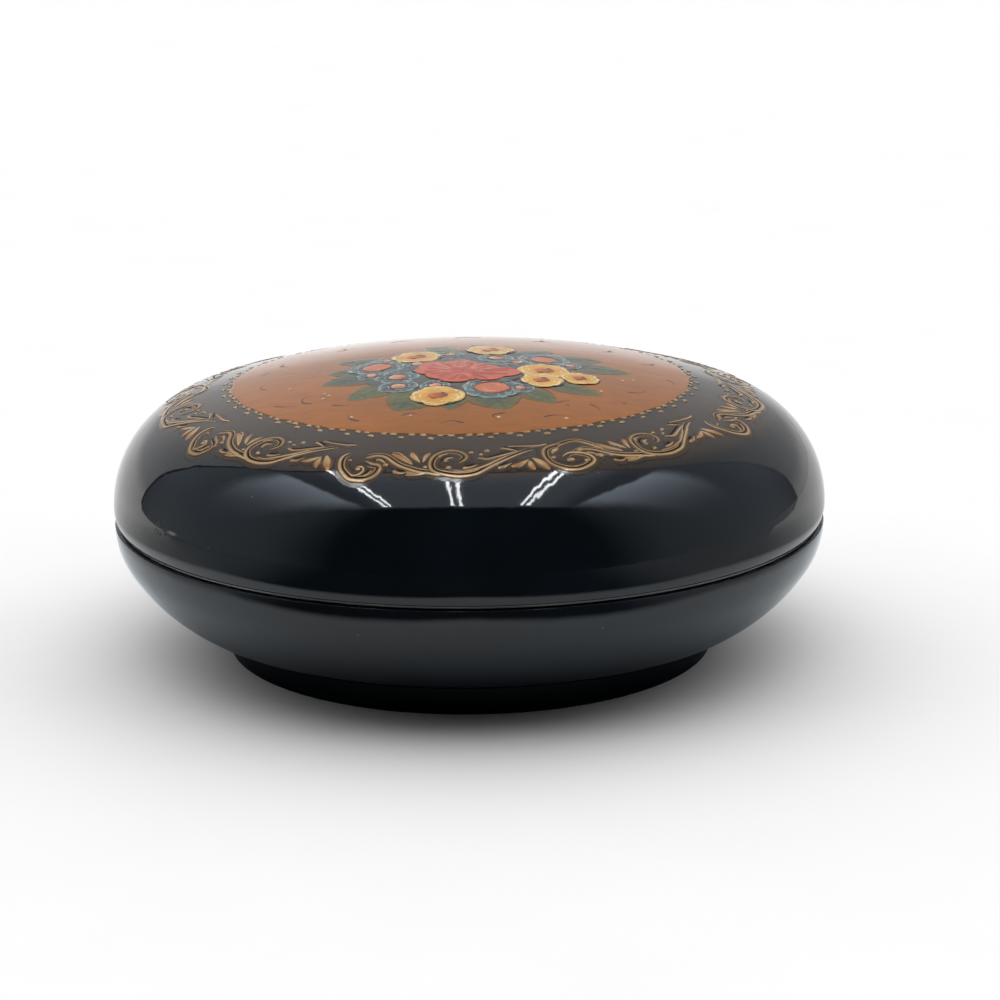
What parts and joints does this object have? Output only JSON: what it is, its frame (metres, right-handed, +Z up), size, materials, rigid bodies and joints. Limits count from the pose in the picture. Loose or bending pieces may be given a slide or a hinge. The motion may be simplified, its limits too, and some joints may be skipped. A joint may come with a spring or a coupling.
{
  "type": "trinket box",
  "caption": "Round low lacquered trinket box with a lift-off domed lid, a bowl with an inner collar on a foot ring, and a painted floral medallion in a gold scroll border.",
  "frame": {"origin": "centre of the foot ring's underside, which is the bottom centre of the closed box", "axes": "+Z up along the box's axis of revolution, -Y towards the front of the painting, +X to the viewer's right"},
  "size_m": [0.11, 0.11, 0.0455],
  "materials": {
    "black_lacquer": "gloss black lacquer over papier-mache",
    "collar_lacquer": "satin black lacquer over papier-mache strip",
    "foot_lacquer": "satin black lacquer over papier-mache",
    "ochre_enamel": "mottled ochre paint under clear varnish",
    "gold_paint": "raised gold paint under clear varnish",
    "bronze_paint": "raised bronze-gold paint under clear varnish",
    "red_enamel": "painted petals under clear varnish",
    "yellow_enamel": "painted petals under clear varnish",
    "peach_enamel": "painted petals under clear varnish",
    "blue_enamel": "painted petals under clear varnish",
    "green_enamel": "painted leaves under clear varnish"
  },
  "bodies": {
    "base": {"bowl_shell": "black_lacquer", "bowl_collar": "collar_lacquer", "foot_ring": "foot_lacquer"},
    "lid": {"lid_shell": "black_lacquer", "medallion_ground": "ochre_enamel", "bead_border": "gold_paint", "scroll_border": "gold_paint", "border_leaves": "bronze_paint", "red_bloom": "red_enamel", "yellow_blooms": "yellow_enamel", "peach_blooms": "peach_enamel", "blue_petals": "blue_enamel", "bouquet_leaves": "green_enamel"}
  },
  "joints": [
    {"name": "lid_lift", "type": "slide", "parent": "base", "child": "lid", "axis": [0, 0, 1], "range_m": [0, 0.06]}
  ]
}
